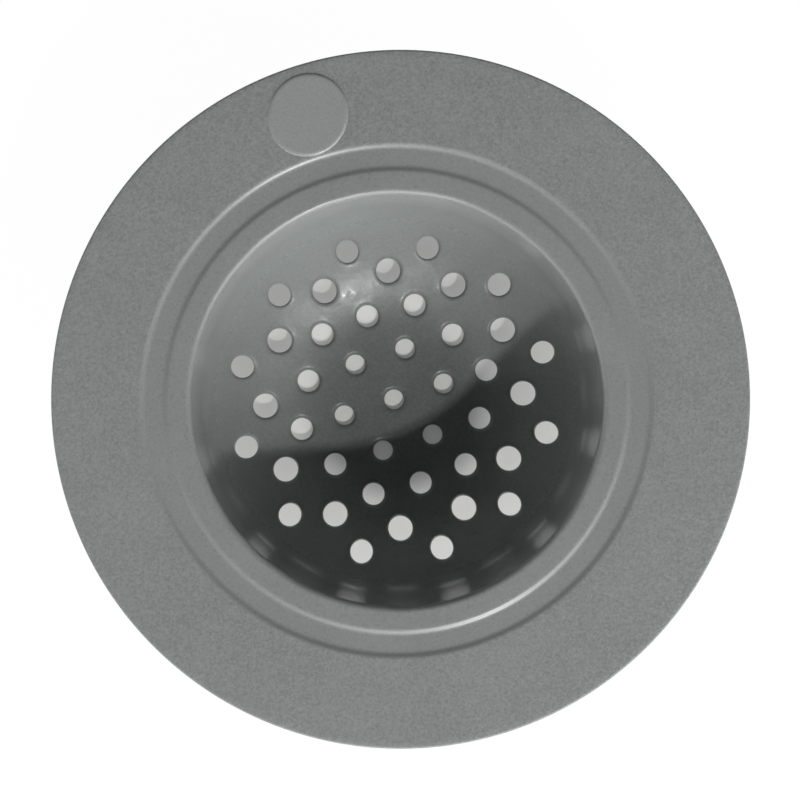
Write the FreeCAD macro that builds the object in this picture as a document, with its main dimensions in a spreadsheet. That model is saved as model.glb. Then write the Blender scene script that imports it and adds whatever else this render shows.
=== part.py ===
import FreeCAD
import Part
import Sketcher
import math
import os

# Sink strainer in millimetres: a soft flange ring that lies round the drain and grips a perforated bowl.
# The origin is the centre of the bowl's flat foot, +Z is up and +Y points to the badge.

SIZES = {
    # Bowl
    "mouth_diameter": 68.6,
    "bowl_depth": 32.0,
    "wall_thickness": 1.2,
    "wall_inset": 2.8,
    "corner_radius": 20.3,
    "tongue_reach": 3.0,
    "tongue_thickness": 1.4,
    # Holes, with each ring's place as a share of the field that the rings fill
    "plain_wall_band": 7.1,
    "ring_1_share": 0.338,
    "ring_2_share": 0.568,
    "ring_3_share": 0.628,
    "ring_4_share": 0.834,
    "ring_5_share": 1.0,
    "inner_hole_diameter": 3.4,
    "middle_hole_diameter": 3.8,
    "fourth_hole_diameter": 4.2,
    "outer_hole_diameter": 3.85,
    # Flange ring
    "lip_setback": 0.2,
    "lip_thickness": 1.2,
    "lip_round": 0.6,
    "lower_lip_thickness": 1.2,
    "grip_clearance": 0.2,
    "land_width": 3.5,
    "channel_width": 4.45,
    "channel_depth": 0.3,
    "channel_slope_width": 0.7,
    "band_width": 15.25,
    "flange_thickness": 2.2,
    "edge_round": 0.35,
    "collar_setback": 1.75,
    # Badge
    "badge_inner_margin": 0.15,
    "badge_outer_margin": 1.5,
    "badge_height": 0.25,
    "badge_edge_round": 0.2,
}

# Ring of holes: share of the field, hole size, number of holes, turn of the first hole from +X in degrees
HOLE_RINGS = {
    "ring_1": ("ring_1_share", "inner_hole_diameter", 6, 0.0),
    "ring_2": ("ring_2_share", "middle_hole_diameter", 6, 30.0),
    "ring_3": ("ring_3_share", "middle_hole_diameter", 6, 0.0),
    "ring_4": ("ring_4_share", "fourth_hole_diameter", 12, 15.0),
    "ring_5": ("ring_5_share", "outer_hole_diameter", 12, 0.0),
}

# Radii and heights that both pieces share
MOUTH_R = "sizes.mouth_diameter / 2"
BOWL_EDGE_R = f"({MOUTH_R} - sizes.lip_setback)"
TONGUE_R = f"({MOUTH_R} + sizes.tongue_reach)"
BOWL_OUTER_R = f"({BOWL_EDGE_R} + sizes.wall_thickness)"
TONGUE_TOP_Z = "(sizes.wall_thickness + sizes.bowl_depth)"
TONGUE_UNDER_Z = f"({TONGUE_TOP_Z} - sizes.tongue_thickness)"
HOLE_FIELD_R = f"({BOWL_EDGE_R} - sizes.plain_wall_band)"
RIM_TOP_Z = f"({TONGUE_TOP_Z} + sizes.lip_thickness)"
BAND_R = f"({MOUTH_R} + sizes.land_width + sizes.channel_width)"
FLANGE_R = f"({BAND_R} + sizes.band_width)"

# Names for the numbers that sketch constraints use
START, END, CENTRE = range(1, 4)
X_AXIS, Y_AXIS = range(-1, -3, -1)
ORIGIN = (X_AXIS, START)

# How near an edge has to lie to the place that names it
TOLERANCE = 1e-4

doc = FreeCAD.newDocument("sink_strainer")
sheet = doc.addObject("Spreadsheet::Sheet", "sizes")
for row, (name, value) in enumerate(SIZES.items(), start=1):
    sheet.set(f"A{row}", name)
    sheet.set(f"B{row}", str(value))
    sheet.setAlias(f"B{row}", name)
doc.recompute()


def value_of(expression):
    """Number that an expression on the sheet gives now."""
    return float(sheet.evalExpression(expression))


def new_body(label):
    body = doc.addObject("PartDesign::Body", label)
    body.Label = label
    body.Placement = FreeCAD.Placement()
    return body


def new_sketch(body, name, role):
    """Empty sketch on one of the body's own origin planes."""
    sketch = body.newObject("Sketcher::SketchObject", name)
    plane = next(item for item in body.Origin.OriginFeatures if item.Role == role)
    sketch.AttachmentSupport = (plane, [""])
    sketch.MapMode = "FlatFace"
    return sketch


def tie(sketch, kind, where, expression):
    """Dimension from the sketch's origin (or of a curve) that follows the sheet."""
    index = sketch.addConstraint(Sketcher.Constraint(kind, *where, value_of(expression)))
    sketch.setExpression(f"Constraints[{index}]", expression)


def tie_point(sketch, geometry, end, corner):
    """Holds one end of a curve at a corner given by two expressions; a zero holds it on that axis."""
    across, up = corner
    if across == "0":
        sketch.addConstraint(Sketcher.Constraint("PointOnObject", geometry, end, Y_AXIS))
    else:
        tie(sketch, "DistanceX", (*ORIGIN, geometry, end), across)
    if up == "0":
        sketch.addConstraint(Sketcher.Constraint("PointOnObject", geometry, end, X_AXIS))
    else:
        tie(sketch, "DistanceY", (*ORIGIN, geometry, end), up)


def vector_of(corner):
    across, up = corner
    return FreeCAD.Vector(value_of(across), value_of(up), 0)


def revolve(body, sketch):
    """Turns a half section about the body's axis."""
    turn = body.newObject("PartDesign::Revolution", f"{sketch.Name}_turn")
    turn.Profile = sketch
    turn.ReferenceAxis = (sketch, ["V_Axis"])
    turn.Angle = 360.0
    sketch.Visibility = False
    doc.recompute()
    return turn


def round_edges(body, base, test, size, name):
    """Fillet on the base feature's edges that pass a test, its radius tied to a size."""
    names = [f"Edge{number}" for number, edge in enumerate(base.Shape.Edges, start=1) if test(edge)]
    fillet = body.newObject("PartDesign::Fillet", name)
    fillet.Base = (base, names)
    fillet.setExpression("Radius", f"sizes.{size}")
    doc.recompute()
    return fillet


def circle_at(radius, height):
    """Test for a full circle round the axis with this radius and height."""

    def test(edge):
        if not isinstance(edge.Curve, Part.Circle) or len(edge.Vertexes) != 1:
            return False
        centre = edge.Curve.Center
        on_axis = math.hypot(centre.x, centre.y) < TOLERANCE
        same_radius = abs(edge.Curve.Radius - value_of(radius)) < TOLERANCE
        return on_axis and same_radius and abs(centre.z - value_of(height)) < TOLERANCE

    return test


def heading_at(angle):
    return FreeCAD.Vector(math.cos(angle), math.sin(angle), 0)


def square_to(heading):
    """Direction a quarter turn to the left of a heading."""
    return FreeCAD.Vector(-heading.y, heading.x, 0)


def corner_arc(centre, radius, turn):
    """Arc that starts straight below its centre and runs round to a turn."""
    start = -math.pi / 2
    points = [centre + heading_at(angle) * radius for angle in (start, (start + turn) / 2, turn)]
    return Part.Arc(*points)


def draw_ring_section(sketch, corners):
    """Closed polygon whose corners all follow the sheet."""
    count = len(corners)
    for number, corner in enumerate(corners):
        following = corners[(number + 1) % count]
        sketch.addGeometry(Part.LineSegment(vector_of(corner), vector_of(following)), False)
    for number in range(count):
        sketch.addConstraint(Sketcher.Constraint("Coincident", number, END, (number + 1) % count, START))
    for number, corner in enumerate(corners):
        tie_point(sketch, number, START, corner)


def build_rim():
    body = new_body("rim_flange")
    under = f"({RIM_TOP_Z} - sizes.flange_thickness)"
    collar_r = f"({BAND_R} - sizes.collar_setback)"
    collar_z = f"({TONGUE_UNDER_Z} - sizes.lower_lip_thickness)"
    bore_r = f"({BOWL_OUTER_R} + sizes.grip_clearance)"
    slot_r = f"({TONGUE_R} + sizes.grip_clearance)"
    channel_r = f"({MOUTH_R} + sizes.land_width)"
    channel_z = f"({RIM_TOP_Z} - sizes.channel_depth)"
    section = new_sketch(body, "rim_section", "XZ_Plane")
    draw_ring_section(section, [
        (MOUTH_R, TONGUE_TOP_Z),
        (MOUTH_R, RIM_TOP_Z),
        (channel_r, RIM_TOP_Z),
        (f"{channel_r} + sizes.channel_slope_width", channel_z),
        (f"{BAND_R} - sizes.channel_slope_width", channel_z),
        (BAND_R, RIM_TOP_Z),
        (FLANGE_R, RIM_TOP_Z),
        (FLANGE_R, under),
        (collar_r, under),
        (collar_r, collar_z),
        (bore_r, collar_z),
        (bore_r, TONGUE_UNDER_Z),
        (slot_r, TONGUE_UNDER_Z),
        (slot_r, TONGUE_TOP_Z),
    ])
    ring = revolve(body, section)
    lip = round_edges(body, ring, circle_at(MOUTH_R, RIM_TOP_Z), "lip_round", "lip_rounding")
    round_edges(body, lip, circle_at(FLANGE_R, RIM_TOP_Z), "edge_round", "edge_rounding")

    badge_diameter = "(sizes.band_width - sizes.badge_inner_margin - sizes.badge_outer_margin)"
    badge_y = f"({BAND_R} + sizes.badge_inner_margin + {badge_diameter} / 2)"
    outline = new_sketch(body, "badge_outline", "XY_Plane")
    outline.setExpression("AttachmentOffset.Base.z", RIM_TOP_Z)
    centre = FreeCAD.Vector(0, value_of(badge_y), 0)
    outline.addGeometry(Part.Circle(centre, FreeCAD.Vector(0, 0, 1), value_of(badge_diameter) / 2), False)
    tie_point(outline, 0, CENTRE, ("0", badge_y))
    tie(outline, "Diameter", (0,), badge_diameter)
    badge = body.newObject("PartDesign::Pad", "badge")
    badge.Profile = outline
    badge.setExpression("Length", "sizes.badge_height")
    outline.Visibility = False
    doc.recompute()

    badge_top = value_of(f"{RIM_TOP_Z} + sizes.badge_height")
    round_edges(body, badge, lambda edge: edge.BoundBox.ZMin > badge_top - TOLERANCE,
                "badge_edge_round", "badge_rounding")
    return body


def draw_bowl_section(sketch):
    """Half section of the bowl: a flat floor, a round corner, a straight wall from there to the mouth
    and the tongue. The outer side runs parallel to the inner one. The wall leans on a line that meets
    the floor's level a set inset from the mouth."""
    wall = "sizes.wall_thickness"
    corner_radius = value_of("sizes.corner_radius")
    outer_radius = corner_radius + value_of(wall)

    mouth = vector_of((BOWL_EDGE_R, TONGUE_TOP_Z))
    wall_root = vector_of((f"{BOWL_EDGE_R} - sizes.wall_inset", wall))
    tongue_top = vector_of((TONGUE_R, TONGUE_TOP_Z))
    tongue_under = vector_of((TONGUE_R, TONGUE_UNDER_Z))
    floor_centre = vector_of(("0", wall))
    foot_centre = vector_of(("0", "0"))

    wall_slope = math.atan2(mouth.y - wall_root.y, mouth.x - wall_root.x)
    floor_edge = wall_root - FreeCAD.Vector(corner_radius * math.tan(wall_slope / 2), 0, 0)
    foot_edge = FreeCAD.Vector(floor_edge.x, 0, 0)
    corner_centre = floor_edge + FreeCAD.Vector(0, corner_radius, 0)
    wall_turn = wall_slope - math.pi / 2
    wall_start = corner_centre + heading_at(wall_turn) * corner_radius
    outer_start = corner_centre + heading_at(wall_turn) * outer_radius
    wall_heading = square_to(heading_at(wall_turn))
    shoulder = outer_start + wall_heading * ((tongue_under.y - outer_start.y) / wall_heading.y)

    floor = sketch.addGeometry(Part.LineSegment(floor_centre, floor_edge), False)
    corner = sketch.addGeometry(corner_arc(corner_centre, corner_radius, wall_turn), False)
    inner_wall = sketch.addGeometry(Part.LineSegment(wall_start, mouth), False)
    tongue = sketch.addGeometry(Part.LineSegment(mouth, tongue_top), False)
    edge = sketch.addGeometry(Part.LineSegment(tongue_top, tongue_under), False)
    ledge = sketch.addGeometry(Part.LineSegment(tongue_under, shoulder), False)
    outer_wall = sketch.addGeometry(Part.LineSegment(shoulder, outer_start), False)
    outer_corner = sketch.addGeometry(corner_arc(corner_centre, outer_radius, wall_turn), False)
    foot = sketch.addGeometry(Part.LineSegment(foot_edge, foot_centre), False)
    axis = sketch.addGeometry(Part.LineSegment(foot_centre, floor_centre), False)
    wall_line = sketch.addGeometry(Part.LineSegment(wall_root, mouth), True)

    sketch.addConstraint([
        Sketcher.Constraint("Tangent", floor, END, corner, START),
        Sketcher.Constraint("Tangent", corner, END, inner_wall, START),
        Sketcher.Constraint("Coincident", inner_wall, END, tongue, START),
        Sketcher.Constraint("Coincident", tongue, END, edge, START),
        Sketcher.Constraint("Coincident", edge, END, ledge, START),
        Sketcher.Constraint("Coincident", ledge, END, outer_wall, START),
        Sketcher.Constraint("Tangent", outer_wall, END, outer_corner, END),
        Sketcher.Constraint("Tangent", outer_corner, START, foot, START),
        Sketcher.Constraint("Coincident", foot, END, axis, START),
        Sketcher.Constraint("Coincident", axis, END, floor, START),
        Sketcher.Constraint("Coincident", corner, CENTRE, outer_corner, CENTRE),
        Sketcher.Constraint("Horizontal", floor),
        Sketcher.Constraint("Horizontal", tongue),
        Sketcher.Constraint("Vertical", edge),
        Sketcher.Constraint("Horizontal", ledge),
        Sketcher.Constraint("Horizontal", foot),
        Sketcher.Constraint("Parallel", inner_wall, outer_wall),
        Sketcher.Constraint("Coincident", wall_line, END, inner_wall, END),
        Sketcher.Constraint("PointOnObject", inner_wall, START, wall_line),
    ])
    tie_point(sketch, axis, START, ("0", "0"))
    tie_point(sketch, axis, END, ("0", wall))
    tie_point(sketch, wall_line, START, (f"{BOWL_EDGE_R} - sizes.wall_inset", wall))
    tie(sketch, "Radius", (corner,), "sizes.corner_radius")
    tie_point(sketch, inner_wall, END, (BOWL_EDGE_R, TONGUE_TOP_Z))
    tie_point(sketch, edge, END, (TONGUE_R, TONGUE_UNDER_Z))


def cut_hole(body, name, across, up, diameter):
    """One hole straight up through the floor at a place given by two expressions."""
    sketch = new_sketch(body, f"{name}_outline", "XY_Plane")
    place = FreeCAD.Vector(value_of(across), value_of(up), 0)
    sketch.addGeometry(Part.Circle(place, FreeCAD.Vector(0, 0, 1), value_of(diameter) / 2), False)
    tie_point(sketch, 0, CENTRE, (across, up))
    tie(sketch, "Diameter", (0,), diameter)
    hole = body.newObject("PartDesign::Pocket", f"{name}_hole")
    hole.Profile = sketch
    hole.Type = "ThroughAll"
    hole.Reversed = True
    sketch.Visibility = False
    return hole


def build_bowl():
    body = new_body("strainer_bowl")
    section = new_sketch(body, "bowl_section", "XZ_Plane")
    draw_bowl_section(section)
    shell = revolve(body, section)
    uncut_volume = shell.Shape.Volume

    cut_hole(body, "centre", "0", "0", "sizes.inner_hole_diameter")
    z_axis = next(item for item in body.Origin.OriginFeatures if item.Role == "Z_Axis")
    for name, (share, diameter, count, first_turn) in HOLE_RINGS.items():
        across = f"{HOLE_FIELD_R} * sizes.{share} * cos({first_turn} deg)"
        up = f"{HOLE_FIELD_R} * sizes.{share} * sin({first_turn} deg)" if first_turn else "0"
        hole = cut_hole(body, name, across, up, f"sizes.{diameter}")
        ring = body.newObject("PartDesign::PolarPattern", f"{name}_holes")
        ring.Originals = [hole]
        ring.Axis = (z_axis, [""])
        ring.Angle = 360.0
        ring.Occurrences = count
        body.Tip = ring
        doc.recompute()
    if not body.Shape.Volume < uncut_volume:
        raise RuntimeError("the holes cut nothing")
    return body


pieces = [build_rim(), build_bowl()]
doc.recompute()

for item in doc.Objects:
    if "Invalid" in item.State or "Error" in item.State:
        raise RuntimeError(f"{item.Name} failed: {item.State}")
for piece in pieces:
    if piece.Shape.isNull() or not piece.Shape.isValid() or len(piece.Shape.Solids) != 1:
        raise RuntimeError(f"{piece.Label} is not one valid solid")

os.makedirs("parts", exist_ok=True)
for piece in pieces:
    piece.Shape.exportStep(f"parts/{piece.Label}.step")
    print(piece.Label, round(piece.Shape.Volume, 1), "mm3")
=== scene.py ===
import bmesh
import bpy
import math
from mathutils import Matrix, Vector, noise
from mathutils.geometry import delaunay_2d_cdt


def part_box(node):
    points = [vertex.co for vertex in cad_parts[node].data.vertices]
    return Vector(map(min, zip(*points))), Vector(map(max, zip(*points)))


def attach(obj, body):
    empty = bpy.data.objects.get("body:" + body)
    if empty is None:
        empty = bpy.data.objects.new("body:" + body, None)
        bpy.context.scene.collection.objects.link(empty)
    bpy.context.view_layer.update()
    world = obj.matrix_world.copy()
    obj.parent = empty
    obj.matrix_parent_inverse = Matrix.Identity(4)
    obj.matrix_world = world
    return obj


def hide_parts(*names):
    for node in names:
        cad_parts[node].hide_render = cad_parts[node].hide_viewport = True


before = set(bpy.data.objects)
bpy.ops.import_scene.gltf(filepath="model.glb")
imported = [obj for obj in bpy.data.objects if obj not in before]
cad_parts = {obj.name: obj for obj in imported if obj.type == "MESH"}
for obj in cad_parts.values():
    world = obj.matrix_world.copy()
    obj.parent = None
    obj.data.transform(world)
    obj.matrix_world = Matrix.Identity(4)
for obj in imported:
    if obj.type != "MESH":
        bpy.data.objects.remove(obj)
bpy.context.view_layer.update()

# Sizes are in millimetres, and MM makes them metres. Heights count from the floor under the bowl's foot.
MM = 0.001
NEAR = 0.002

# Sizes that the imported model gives
rim_low, rim_high = (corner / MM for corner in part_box("rim_flange"))
bowl_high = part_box("strainer_bowl")[1] / MM
FLANGE_R = rim_high.x
BADGE_TOP = rim_high.z
COLLAR_Z = rim_low.z
TONGUE_R = bowl_high.x
GROOVE_TOP = bowl_high.z

# The photograph's right and up as seen on the strainer, and the side that its light comes from
PHOTO_RIGHT = Vector((0.9524, -0.3048, 0))
PHOTO_UP = Vector((0.3048, 0.9524, 0))
LIGHT_SIDE = (0.41 * PHOTO_RIGHT - 0.912 * PHOTO_UP).normalized()

# Flange ring
BADGE_HEIGHT = 0.25
RIM_TOP = BADGE_TOP - BADGE_HEIGHT
FLANGE_THICKNESS = 2.2
FLANGE_UNDER = RIM_TOP - FLANGE_THICKNESS
TONGUE_THICKNESS = 1.4
GROOVE_UNDER = GROOVE_TOP - TONGUE_THICKNESS
LIP_R = 33.85
LAND_R = 37.8
BAND_R = 42.25
CHANNEL_DEPTH = 0.3
CHANNEL_Z = RIM_TOP - CHANNEL_DEPTH
CHANNEL_SLOPE = 0.7
COLLAR_R = 40.5
BORE_R = 35.5
GRIP_CLEARANCE = 0.2
SLOT_R = TONGUE_R + GRIP_CLEARANCE
BADGE_R = 6.8
BADGE_MARGIN = 0.15
BADGE_Y = BAND_R + BADGE_MARGIN + BADGE_R
BADGE_ROUND = 0.8
BADGE_INSET = 0.25
BADGE_ROOT = 1.0
# How far the corners of the ring's section are cut back by their roundings
LIP_ROUND = 0.95
CHANNEL_ROUND = 0.26
EDGE_ROUND = 0.35
FOOT_ROUND = 0.5
COLLAR_ROUND = 0.4
# Unevenness of the lip, how far in from the mouth it reaches, and the width over which it fades
LIP_WAVER = 0.16
WAVER_WIDTH = 1.3
WAVER_FADE = 0.8
# How far the soft outer edge is drawn to one side of the rings inside it
EDGE_DRIFT = 0.68 * PHOTO_RIGHT + 0.19 * PHOTO_UP

# Bowl
WALL = 1.2
MOUTH_R = 34.1
WALL_INSET = 2.8
CORNER_R = 20.3
HOLE_ROUND = 0.75
HOLE_ROUND_DEPTH = 0.8
HOLE_BURR = 0.12
HOLE_FIELD_R = 27.0
# Rings of holes: share of the field, hole diameter, number of holes, turn of the first one in degrees
HOLE_RINGS = (
    (0.0, 3.4, 1, 0),
    (0.338, 3.4, 6, 0),
    (0.568, 3.8, 6, 30),
    (0.628, 3.8, 6, 0),
    (0.834, 4.2, 12, 15),
    (1.0, 3.85, 12, 0),
)

# Tints of the finishes, dark and pale
RIM_DARK, RIM_PALE = (0.140, 0.149, 0.143), (0.280, 0.295, 0.288)
BOWL_DARK, BOWL_PALE = (0.160, 0.169, 0.164), (0.280, 0.296, 0.289)
PALE_FLOOR = (0.87, 0.86, 0.84, 1)
WHITE = (1, 1, 1, 1)

# Fineness of the meshes
ROUND_TURNS = 288
HOLE_TURNS = 48
ROUND_STEPS = 5
NET_STEP = 0.9
NET_R = 30.4
WALL_STEPS = 10


def select_points(piece, test):
    """In edit mode, selects the points whose place in millimetres passes a test."""
    bpy.ops.mesh.select_all(action="DESELECT")
    mesh = bmesh.from_edit_mesh(piece.data)
    for point in mesh.verts:
        point.select_set(bool(test(point.co / MM)))
    mesh.select_flush(True)
    bmesh.update_edit_mesh(piece.data)


def draw_section(name, corners):
    """Starts a piece in edit mode as a line through corners given by distance from the axis and height."""
    bpy.ops.object.select_all(action="DESELECT")
    bpy.ops.mesh.primitive_plane_add(size=MM)
    piece = bpy.context.object
    piece.name = piece.data.name = name
    bpy.ops.object.mode_set(mode="EDIT")
    bpy.ops.mesh.merge(type="CENTER")
    places = [Vector((across, 0, up)) * MM for across, up in corners]
    bpy.ops.transform.translate(value=places[0])
    for here, there in zip(places, places[1:]):
        bpy.ops.mesh.extrude_region_move(TRANSFORM_OT_translate={"value": there - here})
    return piece


def round_corners(piece, cut_backs):
    """Closes a section and rounds its corners, each cut back along its sides by a length."""
    bpy.ops.mesh.select_all(action="SELECT")
    bpy.ops.mesh.edge_face_add()
    for (across, up), back in cut_backs.items():
        corner = Vector((across, 0, up))
        select_points(piece, lambda place: (place - corner).length < NEAR)
        bpy.ops.mesh.bevel(offset=back * MM, segments=ROUND_STEPS, affect="VERTICES")
    bpy.ops.mesh.select_all(action="SELECT")
    bpy.ops.mesh.delete(type="ONLY_FACE")


def spin_section():
    """Turns the section that is being edited into a closed round piece."""
    bpy.ops.mesh.select_all(action="SELECT")
    bpy.ops.mesh.spin(steps=ROUND_TURNS, angle=math.tau, center=(0, 0, 0), axis=(0, 0, 1))
    bpy.ops.mesh.select_all(action="SELECT")
    bpy.ops.mesh.remove_doubles(threshold=NEAR * MM)
    bpy.ops.mesh.normals_make_consistent(inside=False)
    bpy.ops.object.mode_set(mode="OBJECT")


def smooth(piece, degrees):
    bpy.ops.object.select_all(action="DESELECT")
    piece.select_set(True)
    bpy.context.view_layer.objects.active = piece
    bpy.ops.object.shade_smooth_by_angle(angle=math.radians(degrees))


def make_rim():
    lip = (LIP_R, RIM_TOP)
    land_edge = (LAND_R, RIM_TOP)
    channel_in = (LAND_R + CHANNEL_SLOPE, CHANNEL_Z)
    channel_out = (BAND_R - CHANNEL_SLOPE, CHANNEL_Z)
    band_edge = (BAND_R, RIM_TOP)
    flange_edge = (FLANGE_R, RIM_TOP)
    flange_foot = (FLANGE_R, FLANGE_UNDER)
    collar_root = (COLLAR_R, FLANGE_UNDER)
    collar_foot = (COLLAR_R, COLLAR_Z)
    bore_foot = (BORE_R, COLLAR_Z)
    # The plain corners between the rounded ones keep the long faces flat
    rim = draw_section("rim_flange_skin", [
        (LIP_R, GROOVE_TOP),
        lip,
        (LIP_R + 1.2, RIM_TOP),
        (LAND_R - 0.7, RIM_TOP),
        land_edge,
        channel_in,
        (channel_in[0] + 0.5, CHANNEL_Z),
        (channel_out[0] - 0.5, CHANNEL_Z),
        channel_out,
        band_edge,
        (BAND_R + 0.6, RIM_TOP),
        (FLANGE_R - 1.2, RIM_TOP),
        flange_edge,
        flange_foot,
        (FLANGE_R - 0.8, FLANGE_UNDER),
        (COLLAR_R + 0.6, FLANGE_UNDER),
        collar_root,
        collar_foot,
        (COLLAR_R - 0.8, COLLAR_Z),
        (BORE_R + 0.8, COLLAR_Z),
        bore_foot,
        (BORE_R, GROOVE_UNDER),
        (SLOT_R, GROOVE_UNDER),
        (SLOT_R, GROOVE_TOP),
    ])
    round_corners(rim, {
        lip: LIP_ROUND,
        land_edge: CHANNEL_ROUND,
        channel_in: CHANNEL_ROUND,
        channel_out: CHANNEL_ROUND,
        band_edge: CHANNEL_ROUND,
        flange_edge: EDGE_ROUND,
        flange_foot: FOOT_ROUND,
        collar_root: COLLAR_ROUND,
        collar_foot: COLLAR_ROUND,
        bore_foot: COLLAR_ROUND,
    })
    spin_section()
    waver_lip(rim)
    add_badge(rim)
    draw_edge_aside(rim)
    smooth(rim, 35)
    return rim


def waver_lip(rim):
    """Gives the soft lip the slight unevenness of a trimmed moulding."""
    for point in rim.data.vertices:
        place = point.co / MM
        reach = place.xy.length
        if reach < LIP_R + WAVER_WIDTH and place.z > GROOVE_TOP - NEAR:
            along = Vector((place.x, place.y, 0)) / reach
            drift = noise.noise(along * 2.6) + 0.5 * noise.noise(along * 9 + Vector((7, 0, 3)))
            fade = min(1.0, (LIP_R + WAVER_WIDTH - reach) / WAVER_FADE)
            point.co += along * (LIP_WAVER * drift * fade * MM)


def drift_at(reach):
    """How far the soft ring is drawn aside at a distance from the axis: not at all inside the band."""
    share = min(max((reach - BAND_R) / (FLANGE_R - BAND_R), 0), 1)
    return EDGE_DRIFT * (share ** 2 * (3 - 2 * share))


def draw_edge_aside(rim):
    """Moves the outer edge a little off centre, less and less towards the channel."""
    for point in rim.data.vertices:
        point.co += drift_at(point.co.xy.length / MM) * MM


def add_badge(rim):
    """Joins the raised round badge to the flange."""
    bpy.ops.object.select_all(action="DESELECT")
    root = RIM_TOP - BADGE_ROOT
    sunk = BADGE_ROUND - BADGE_HEIGHT
    root_r = BADGE_R + BADGE_ROUND - math.sqrt(BADGE_ROUND ** 2 - sunk ** 2)
    bpy.ops.mesh.primitive_cylinder_add(
        vertices=HOLE_TURNS * 3, radius=root_r * MM, depth=(BADGE_TOP - root) * MM,
        location=(0, BADGE_Y * MM, (BADGE_TOP + root) / 2 * MM))
    badge = bpy.context.object
    bpy.ops.object.transform_apply(location=True)
    bpy.ops.object.mode_set(mode="EDIT")
    select_points(badge, lambda place: place.z > BADGE_TOP - NEAR)
    bpy.ops.mesh.bevel(offset=BADGE_ROUND * MM, segments=ROUND_STEPS, affect="EDGES")
    select_points(badge, lambda place: place.z > BADGE_TOP - NEAR)
    bpy.ops.mesh.inset(thickness=BADGE_INSET * MM)
    bpy.ops.object.mode_set(mode="OBJECT")
    union = rim.modifiers.new("badge", "BOOLEAN")
    union.object = badge
    union.operation = "UNION"
    union.solver = "EXACT"
    bpy.ops.object.select_all(action="DESELECT")
    bpy.context.view_layer.objects.active = rim
    bpy.ops.object.modifier_apply(modifier=union.name)
    bpy.data.objects.remove(badge)


# The bowl's inner side: a flat floor, a round corner and a straight wall that leaves the corner at this slope
WALL_SLOPE = math.atan2(GROOVE_TOP - WALL, WALL_INSET)
FLOOR_R = MOUTH_R - WALL_INSET - CORNER_R * math.tan(WALL_SLOPE / 2)
CORNER_END_R = FLOOR_R + CORNER_R * math.sin(WALL_SLOPE)


def height_at(reach, outside=0.0):
    """Height of the bowl's inner side, or of the side this far outside it, at a distance from the axis."""
    radius = CORNER_R + outside
    corner_end = FLOOR_R + radius * math.sin(WALL_SLOPE)
    along = min(max(reach, FLOOR_R), corner_end) - FLOOR_R
    rise = max(reach - corner_end, 0) * math.tan(WALL_SLOPE)
    return WALL + CORNER_R - math.sqrt(radius ** 2 - along ** 2) + rise


def length_at(reach):
    """Length along the bowl's inner side from the axis out to a distance from it."""
    along = min(max(reach, FLOOR_R), CORNER_END_R) - FLOOR_R
    beyond = max(reach - CORNER_END_R, 0) / math.cos(WALL_SLOPE)
    return min(reach, FLOOR_R) + CORNER_R * math.asin(along / CORNER_R) + beyond


def reach_at(length):
    """Distance from the axis after a length along the bowl's inner side."""
    turn = min(max(length - FLOOR_R, 0) / CORNER_R, WALL_SLOPE)
    beyond = max(length - FLOOR_R - CORNER_R * WALL_SLOPE, 0) * math.cos(WALL_SLOPE)
    return min(length, FLOOR_R) + CORNER_R * math.sin(turn) + beyond


def corner_points(outside=0.0):
    """Points of the bowl's section up the round corner, from the edge of the net to the straight wall."""
    radius = CORNER_R + outside
    first = math.asin((NET_R - FLOOR_R) / radius)
    turns = [first + (WALL_SLOPE - first) * step / WALL_STEPS for step in range(WALL_STEPS + 1)]
    middle = WALL + CORNER_R
    return [(FLOOR_R + radius * math.sin(turn), middle - radius * math.cos(turn)) for turn in turns]


def polar(reach, turn):
    return Vector((reach * math.cos(turn), reach * math.sin(turn)))


def circle(centre, radius, count):
    return [centre + polar(radius, math.tau * step / count) for step in range(count)]


def all_holes():
    """Centre and radius of every hole."""
    for share, diameter, count, first in HOLE_RINGS:
        for number in range(count):
            turn = math.radians(first) + math.tau * number / count
            yield polar(share * HOLE_FIELD_R, turn), diameter / 2


def net_of_floor(holes):
    """Points and triangles of the perforated floor in plan, and the loop of points round each hole.
    The triangles are laid out on the floor unrolled to its true length, so they stay even up the wall."""
    points = circle(Vector((0, 0)), NET_R, ROUND_TURNS)
    loops = [range(ROUND_TURNS)]
    for centre, radius in holes:
        first = len(points)
        points += circle(centre, radius + HOLE_ROUND, HOLE_TURNS)
        loops.append(range(first, len(points)))
    rows = int(length_at(NET_R) / NET_STEP)
    for row in range(rows):
        length = row * NET_STEP
        count = max(1, 6 * row)
        for number in range(count):
            point = polar(reach_at(length), math.tau * (number + row % 2 / 2) / count)
            room = HOLE_ROUND + NET_STEP / 3
            if all((point - centre).length > radius + room for centre, radius in holes):
                points.append(point)
    unrolled = [point * (length_at(point.length) / max(point.length, NEAR)) for point in points]
    ties = [(loop[place - 1], loop[place]) for loop in loops for place in range(len(loop))]
    laid, _, triangles, *_ = delaunay_2d_cdt(unrolled, ties, [], 0, NEAR / 10)
    assert len(laid) == len(points)
    owner = {point: number for number, loop in enumerate(loops) if number for point in loop}
    kept = []
    for triangle in triangles:
        owners = {owner.get(point) for point in triangle}
        if len(owners) > 1 or None in owners:
            kept.append(tuple(triangle))
    return points, kept, loops[1:]


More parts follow.
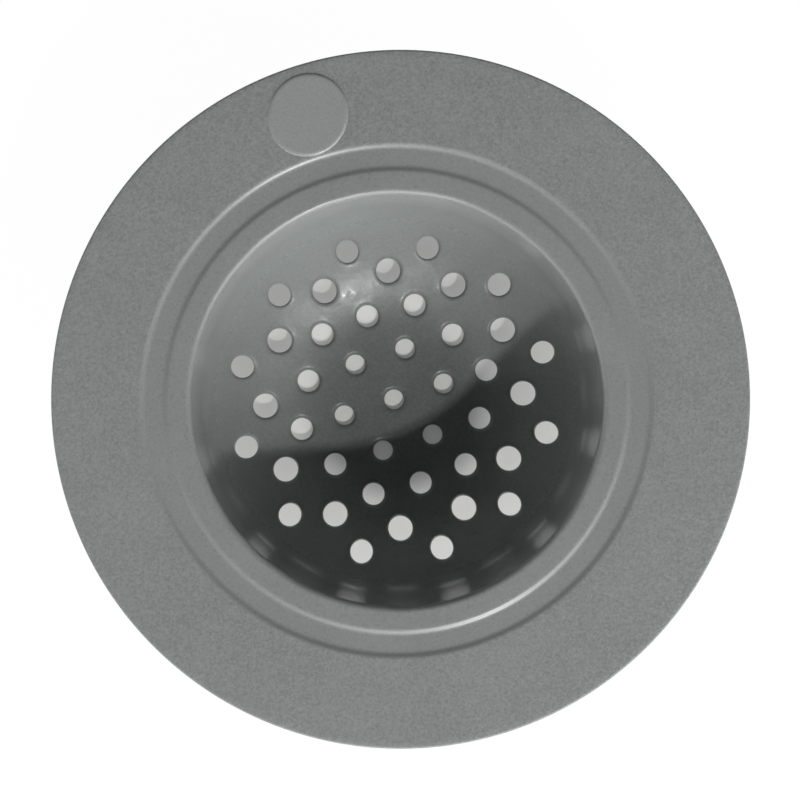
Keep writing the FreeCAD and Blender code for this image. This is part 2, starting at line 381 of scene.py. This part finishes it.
def make_bowl():
    holes = list(all_holes())
    points, triangles, loops = net_of_floor(holes)
    places = [(*point, height_at(point.length)) for point in points]
    places += [(*point, height_at(point.length, WALL)) for point in points]
    faces = list(triangles)
    for triangle in triangles:
        faces.append(tuple(point + len(points) for point in reversed(triangle)))

    # Levels down a hole: how far they stand back from its wall, the side they follow and their lift above it
    levels = []
    for step in range(1, ROUND_STEPS + 1):
        turn = math.pi / 2 * step / ROUND_STEPS
        levels.append((HOLE_ROUND * (1 - math.sin(turn)), 0.0, HOLE_ROUND_DEPTH * (math.cos(turn) - 1)))
    levels += [(0.0, WALL, HOLE_BURR), (HOLE_BURR, WALL, 0.0)]

    for (centre, radius), loop in zip(holes, loops):
        rings = [list(loop)]
        for back, outside, lift in levels:
            rings.append(list(range(len(places), len(places) + HOLE_TURNS)))
            for point in circle(centre, radius + back, HOLE_TURNS):
                places.append((*point, height_at(point.length, outside) + lift))
        rings.append([point + len(points) for point in loop])
        for upper, lower in zip(rings, rings[1:]):
            for place in range(HOLE_TURNS):
                faces.append((upper[place - 1], upper[place], lower[place], lower[place - 1]))

    mesh = bpy.data.meshes.new("strainer_bowl_floor")
    mesh.from_pydata([Vector(place) * MM for place in places], [], faces)
    floor = bpy.data.objects.new("strainer_bowl_floor", mesh)
    bpy.context.collection.objects.link(floor)

    outer_corner = corner_points(WALL)
    wall_r, wall_z = outer_corner[-1]
    shoulder_r = wall_r + (GROOVE_UNDER - wall_z) / math.tan(WALL_SLOPE)
    bowl = draw_section("strainer_bowl_skin", [
        *corner_points(),
        (MOUTH_R, GROOVE_TOP),
        (TONGUE_R, GROOVE_TOP),
        (TONGUE_R, GROOVE_UNDER),
        (shoulder_r, GROOVE_UNDER),
        *reversed(outer_corner),
    ])
    spin_section()
    bpy.ops.object.select_all(action="DESELECT")
    floor.select_set(True)
    bowl.select_set(True)
    bpy.context.view_layer.objects.active = bowl
    bpy.ops.object.join()
    bpy.ops.object.mode_set(mode="EDIT")
    bpy.ops.mesh.select_all(action="SELECT")
    bpy.ops.mesh.remove_doubles(threshold=NEAR * MM)
    bpy.ops.mesh.normals_make_consistent(inside=False)
    bpy.ops.object.mode_set(mode="OBJECT")
    smooth(bowl, 40)
    return bowl


class Wire:
    """Output of a node in a shader. Sums on it add Math nodes, and node() adds any other kind."""

    def __init__(self, tree, socket=None):
        self.tree = tree
        self.socket = socket

    def node(self, kind, inputs=None, output=0, **settings):
        made = self.tree.nodes.new(f"ShaderNode{kind}")
        for name, value in settings.items():
            setattr(made, name, value)
        for name, value in (inputs or {}).items():
            if isinstance(value, Wire):
                self.tree.links.new(value.socket, made.inputs[name])
            else:
                made.inputs[name].default_value = value
        return Wire(self.tree, made.outputs[output])

    def sum_of(self, operation, *values):
        return self.node("Math", dict(enumerate(values)), operation=operation)

    def __add__(self, other):
        return self.sum_of("ADD", self, other)

    def __radd__(self, other):
        return self.sum_of("ADD", other, self)

    def __sub__(self, other):
        return self.sum_of("SUBTRACT", self, other)

    def __rsub__(self, other):
        return self.sum_of("SUBTRACT", other, self)

    def __mul__(self, other):
        return self.sum_of("MULTIPLY", self, other)

    def __rmul__(self, other):
        return self.sum_of("MULTIPLY", other, self)

    def step(self, low, high):
        """0 below low, 1 above high and smooth between."""
        return self.node("MapRange", {"Value": self, "From Min": low, "From Max": high},
                         interpolation_type="SMOOTHSTEP")

    def feed(self, node, name):
        self.tree.links.new(self.socket, node.inputs[name])


def new_finish(name):
    """New material with its shader and the place on the piece that its patterns read."""
    finish = bpy.data.materials.new(name)
    finish.use_nodes = True
    tree = finish.node_tree
    place = Wire(tree).node("TexCoord", output="Object")
    return finish, tree.nodes["Principled BSDF"], place


def grain(place, size, detail=2.0):
    """Even noise round 0.5 with spots of a size in millimetres."""
    return place.node("TexNoise", {"Vector": place, "Scale": 1 / (size * MM), "Detail": detail})


def distance_from(place, x, y):
    """Distance in plan, in metres, from a point given in millimetres."""
    flat = place.node("VectorMath", {0: place, 1: (1, 1, 0)}, operation="MULTIPLY")
    return flat.node("VectorMath", {0: flat, 1: (x * MM, y * MM, 0)}, "Value", operation="DISTANCE")


def tint(mask, low, high):
    """Colour that runs from low to high with a mask."""
    return mask.node("Mix", {0: mask, 6: (*low, 1), 7: (*high, 1)}, 2, data_type="RGBA")


def make_soft_finish():
    finish, shader, place = new_finish("soft_matte_grey")
    fine = grain(place, 0.38, 3)
    cloud = grain(place, 14)
    from_axis = distance_from(place, 0, 0)
    badge = Vector((0, BADGE_Y, 0)) + drift_at(BADGE_Y)
    on_badge = 1 - distance_from(place, badge.x, badge.y).step((BADGE_R - 0.3) * MM, BADGE_R * MM)
    textured = from_axis.step((BAND_R - 0.2) * MM, (BAND_R + 0.4) * MM) * (1 - on_badge)
    # The tone runs from the dark tint at 0 to the pale one at 1
    speckle = (fine - 0.5) * (0.7 + 0.6 * textured)
    # Painted light: the smooth land and channel are paler than the textured band, to lift the shade of the
    # dark sky that they mirror. The badge is lighter still.
    tone = 0.58 - 0.11 * textured + 0.24 * on_badge + speckle + (cloud - 0.5) * 0.25
    tint(tone, RIM_DARK, RIM_PALE).feed(shader, "Base Color")
    rough = 0.31 + 0.2 * textured + (fine - 0.5) * 0.2
    rough.feed(shader, "Roughness")
    bumps = fine * (0.25 + 0.75 * textured)
    bumps.node("Bump", {"Height": bumps, "Strength": 0.5, "Distance": 0.06 * MM}).feed(shader, "Normal")
    return finish


def make_bowl_finish():
    finish, shader, place = new_finish("smooth_glossy_grey")
    fine = grain(place, 0.45, 3)
    ripple = grain(place, 3.0, 3)
    height = place.node("SeparateXYZ", {0: place}, "Z")
    low = 1 - height.step(6 * MM, 17 * MM)
    cloud = grain(place, 11)
    middle = 1 - distance_from(place, 0, 0).step(9 * MM, 20 * MM)
    # The base colour is about a quarter darker in the middle of the floor than up the wall.
    tone = 0.7 - 0.55 * middle + (fine - 0.5) * 0.9 + (cloud - 0.5) * 0.3
    tint(tone, BOWL_DARK, BOWL_PALE).feed(shader, "Base Color")
    shader.inputs["Specular IOR Level"].default_value = 0.4
    rough = 0.21 + 0.17 * low + (fine - 0.5) * 0.08 + (ripple - 0.5) * 0.2 * low
    rough.feed(shader, "Roughness")
    # Patches of a smoother coat break the lamp's glint into wisps
    wisps = grain(place, 1.4).step(0.43, 0.6) * low
    (wisps * 0.16).feed(shader, "Coat Weight")
    shader.inputs["Coat Roughness"].default_value = 0.17
    bumps = (ripple * 0.92 + fine * 0.08) * (0.08 + 0.92 * low)
    bumps.node("Bump", {"Height": bumps, "Strength": 1.0, "Distance": 0.18 * MM}).feed(shader, "Normal")
    return finish


def make_floor():
    """Pale floor. Outside the strainer it shows nearly white, with the strainer's soft shadow left on it.
    Under the holes it carries painted light and shade.
    """
    bpy.ops.object.select_all(action="DESELECT")
    bpy.ops.mesh.primitive_plane_add(size=6, location=(0, 0, -0.05 * MM))
    floor = bpy.context.object
    floor.name = "floor"
    finish, shader, place = new_finish("pale_floor")
    shader.inputs["Base Color"].default_value = PALE_FLOOR
    shader.inputs["Roughness"].default_value = 0.7
    seen = Wire(finish.node_tree)
    camera_ray = seen.node("LightPath", output="Is Camera Ray")
    glossy_ray = seen.node("LightPath", output="Is Glossy Ray")
    through_ray = seen.node("LightPath", output="Is Transmission Ray")
    direct = seen.sum_of("MAXIMUM", camera_ray, seen.sum_of("MAXIMUM", glossy_ray, through_ray))
    from_axis = distance_from(place, 0, 0)
    # Painted light and shade under the holes: seen directly, the floor there gets a glow that lifts its
    # shade, and towards the edge of the bowl it is dimmer, with a grey share that lifts the shade more and
    # dims the lit spots; white beyond the ring
    outside = from_axis.step(42 * MM, 56 * MM)
    glow = 0.1 + 0.38 * from_axis.step(10 * MM, 26 * MM) + 0.48 * outside
    level = 1 - 0.45 * from_axis.step(15 * MM, 24 * MM) + 0.47 * outside
    backdrop_and_painted_light = seen.node("Emission", {"Color": WHITE, "Strength": level})
    lit = Wire(finish.node_tree, shader.outputs[0])
    mixed = seen.node("MixShader", {0: direct * glow, 1: lit, 2: backdrop_and_painted_light})
    mixed.feed(finish.node_tree.nodes["Material Output"], "Surface")
    floor.data.materials.append(finish)


def make_camera():
    distance = 0.5
    across = 0.1315
    lean = math.radians(1.06)
    lean_side = (-0.93 * PHOTO_RIGHT + 0.37 * PHOTO_UP).normalized()
    off_centre = 0.46 * PHOTO_RIGHT + 0.12 * PHOTO_UP
    aim = (Vector((0, 0, RIM_TOP)) + off_centre) * MM
    back = lean_side * math.sin(lean) + Vector((0, 0, math.cos(lean)))
    right = PHOTO_UP.cross(back).normalized()
    up = back.cross(right)
    place = Matrix((right, up, back)).transposed().to_4x4()
    place.translation = aim + back * distance
    lens = bpy.data.cameras.new("photo_view")
    lens.sensor_width = 36
    lens.lens = lens.sensor_width * distance / across
    lens.clip_start = 0.01
    camera = bpy.data.objects.new("photo_view", lens)
    camera.matrix_world = place
    bpy.context.collection.objects.link(camera)
    bpy.context.scene.camera = camera


def add_lamp(name, elevation, distance, width, height, power):
    """Lamp on the light side of the photograph, at an elevation in degrees, turned to the strainer."""
    lamp = bpy.data.lights.new(name, "AREA")
    lamp.shape = "RECTANGLE"
    lamp.size, lamp.size_y = width, height
    lamp.energy = power
    rise = math.radians(elevation)
    towards = LIGHT_SIDE * math.cos(rise) + Vector((0, 0, math.sin(rise)))
    holder = bpy.data.objects.new(name, lamp)
    holder.location = towards * distance
    holder.rotation_euler = towards.to_track_quat("Z", "Y").to_euler()
    bpy.context.collection.objects.link(holder)


def share_of_side(direction, side):
    """How much a direction in plan faces a side: 1 straight towards it, 0 at right angles and beyond."""
    flat = direction.node("VectorMath", {0: direction, 1: (1, 1, 0)}, operation="MULTIPLY")
    flat = flat.node("VectorMath", {0: flat}, operation="NORMALIZE")
    facing = flat.node("VectorMath", {0: flat, 1: tuple(side)}, "Value", operation="DOT_PRODUCT")
    facing = facing.sum_of("MAXIMUM", facing, 0.0)
    return facing * facing


def make_light():
    """A small lamp and a window on the light side, and pale surroundings that are brightest on the left."""
    add_lamp("key_lamp", elevation=49, distance=2.0, width=0.08, height=0.08, power=15.2)
    add_lamp("window", elevation=26, distance=2.5, width=4.0, height=2.0, power=90)
    world = bpy.data.worlds.new("studio")
    world.use_nodes = True
    tree = world.node_tree
    sky = Wire(tree)
    direction = sky.node("TexCoord", output="Generated")
    height = direction.node("SeparateXYZ", {0: direction}, "Z")
    low = 1 - height.step(0.42, 0.58)
    middle = (1 - low) * (1 - height.step(0.72, 0.86))
    across = Vector((-LIGHT_SIDE.y, LIGHT_SIDE.x, 0))
    glow = 0.015
    for side, low_glow, middle_glow in ((LIGHT_SIDE, 0.46, 0.5), (across, 0.4, 0.2), (-across, 1.62, 0.25)):
        glow = glow + share_of_side(direction, side) * (low_glow * low + middle_glow * middle)
    camera_ray = sky.node("LightPath", output="Is Camera Ray")
    through_ray = sky.node("LightPath", output="Is Transmission Ray")
    seen = sky.sum_of("MAXIMUM", camera_ray, through_ray)
    strength = glow * (1 - seen) + seen
    tree.nodes["Background"].inputs["Color"].default_value = WHITE
    strength.feed(tree.nodes["Background"], "Strength")
    bpy.context.scene.world = world


rim = make_rim()
rim.data.materials.clear()
rim.data.materials.append(make_soft_finish())
bowl = make_bowl()
bowl.data.materials.clear()
bowl.data.materials.append(make_bowl_finish())
for piece, node, slot in ((rim, "rim_flange", "soft_rim"), (bowl, "strainer_bowl", "bowl_shell")):
    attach(piece, "root")
    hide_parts(node)

make_floor()
make_camera()
make_light()
bpy.context.scene.view_settings.view_transform = "Standard"
